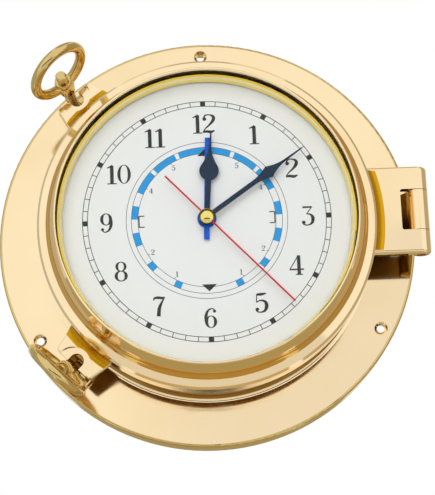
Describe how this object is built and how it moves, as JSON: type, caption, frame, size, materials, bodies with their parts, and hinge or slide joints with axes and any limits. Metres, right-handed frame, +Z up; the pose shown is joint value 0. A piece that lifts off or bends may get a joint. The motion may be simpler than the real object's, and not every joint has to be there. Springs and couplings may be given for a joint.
{
  "type": "tide clock",
  "caption": "Round polished-brass porthole wall clock with a hinged glazed bezel, ring-nut swing bolts, and a white dial with tide, hour, minute and second hands.",
  "frame": {"origin": "middle of the wall plane, on the clock's axis, at the back rim of the base flange", "axes": "+Z up towards twelve o'clock, +X right towards three o'clock, -Y out of the wall towards the viewer"},
  "size_m": [0.214, 0.0809, 0.21],
  "materials": {
    "polished_brass": "polished and lacquered",
    "screw_steel": "plain zinc plated",
    "dial_white": "satin enamel with printed markings",
    "black_rubber": "matt",
    "movement_plastic": "moulded, fine grain",
    "knob_plastic": "moulded, satin",
    "battery_jacket": "gloss sleeve",
    "tide_blue": "gloss paint",
    "hand_navy": "satin paint",
    "hand_red": "gloss paint",
    "clear_glass": "clear flat glass"
  },
  "bodies": {
    "base": {"base_flange": "polished_brass", "hinge_bracket": "polished_brass", "hinge_pin": "polished_brass", "bracket_screws": "screw_steel", "dial_cup": "polished_brass", "cup_screws": "screw_steel", "dial_plate": "dial_white", "dial_washer": "black_rubber", "dial_nut": "polished_brass", "movement_case": "movement_plastic", "movement_cover": "movement_plastic", "battery": "battery_jacket", "battery_contacts": "screw_steel", "dog_bracket_upper": "polished_brass", "dog_pin_upper": "polished_brass", "dog_bracket_lower": "polished_brass", "dog_pin_lower": "polished_brass"},
    "door": {"bezel": "polished_brass", "clamp_lug_upper": "polished_brass", "clamp_lug_lower": "polished_brass", "glass": "clear_glass", "glass_gasket": "black_rubber", "glass_sleeve": "polished_brass"},
    "dog_upper": {"swing_bolt_upper": "polished_brass"},
    "dog_lower": {"swing_bolt_lower": "polished_brass"},
    "nut_upper": {"ring_nut_upper": "polished_brass"},
    "nut_lower": {"ring_nut_lower": "polished_brass"},
    "tide": {"tide_hand": "tide_blue", "tide_tube": "polished_brass"},
    "hour": {"hour_hand": "hand_navy", "hour_tube": "polished_brass"},
    "minute": {"minute_hand": "hand_navy", "minute_arbor": "polished_brass"},
    "second": {"second_hand": "hand_red", "second_shaft": "polished_brass", "hand_cap": "polished_brass"},
    "knob": {"set_knob": "knob_plastic"}
  },
  "joints": [
    {"name": "door_swing", "type": "hinge", "parent": "base", "child": "door", "pos_m": [0.104, -0.04, 0.004], "axis": [0, 0, 1], "range_deg": [0, 110]},
    {"name": "dog_upper_swing", "type": "hinge", "parent": "base", "child": "dog_upper", "pos_m": [-0.06411, -0.021, 0.06875], "axis": [-0.7314, 0, -0.682], "range_deg": [-10.49, 79.49]},
    {"name": "nut_upper_turn", "type": "hinge", "parent": "dog_upper", "child": "nut_upper", "pos_m": [-0.06411, -0.021, 0.06875], "axis": [-0.1244, -0.9832, 0.1334], "continuous": true},
    {"name": "dog_lower_swing", "type": "hinge", "parent": "base", "child": "dog_lower", "pos_m": [-0.06647, -0.021, -0.06647], "axis": [0.7071, 0, -0.7071], "range_deg": [-10.49, 79.49]},
    {"name": "nut_lower_turn", "type": "hinge", "parent": "dog_lower", "child": "nut_lower", "pos_m": [-0.06647, -0.021, -0.06647], "axis": [-0.1289, -0.9832, -0.1289], "continuous": true},
    {"name": "minute_turn", "type": "hinge", "parent": "base", "child": "minute", "pos_m": [0, -0.058, 0], "axis": [0, 1, 0], "continuous": true},
    {"name": "hour_turn", "type": "hinge", "parent": "base", "child": "hour", "pos_m": [0, -0.057, 0], "axis": [0, 1, 0], "continuous": true},
    {"name": "tide_turn", "type": "hinge", "parent": "base", "child": "tide", "pos_m": [0, -0.0555, 0], "axis": [0, 1, 0], "continuous": true},
    {"name": "knob_turn", "type": "hinge", "parent": "base", "child": "knob", "pos_m": [-0.015, -0.034, 0.012], "axis": [0, 1, 0], "continuous": true},
    {"name": "second_turn", "type": "hinge", "parent": "base", "child": "second", "pos_m": [0, -0.06, 0], "axis": [0, 1, 0], "continuous": true}
  ],
  "couplings": [
    {"joint": "hour_turn", "follows": "minute_turn", "ratio": 0.083333},
    {"joint": "tide_turn", "follows": "minute_turn", "ratio": 0.080511},
    {"joint": "knob_turn", "follows": "minute_turn", "ratio": -0.33333}
  ]
}
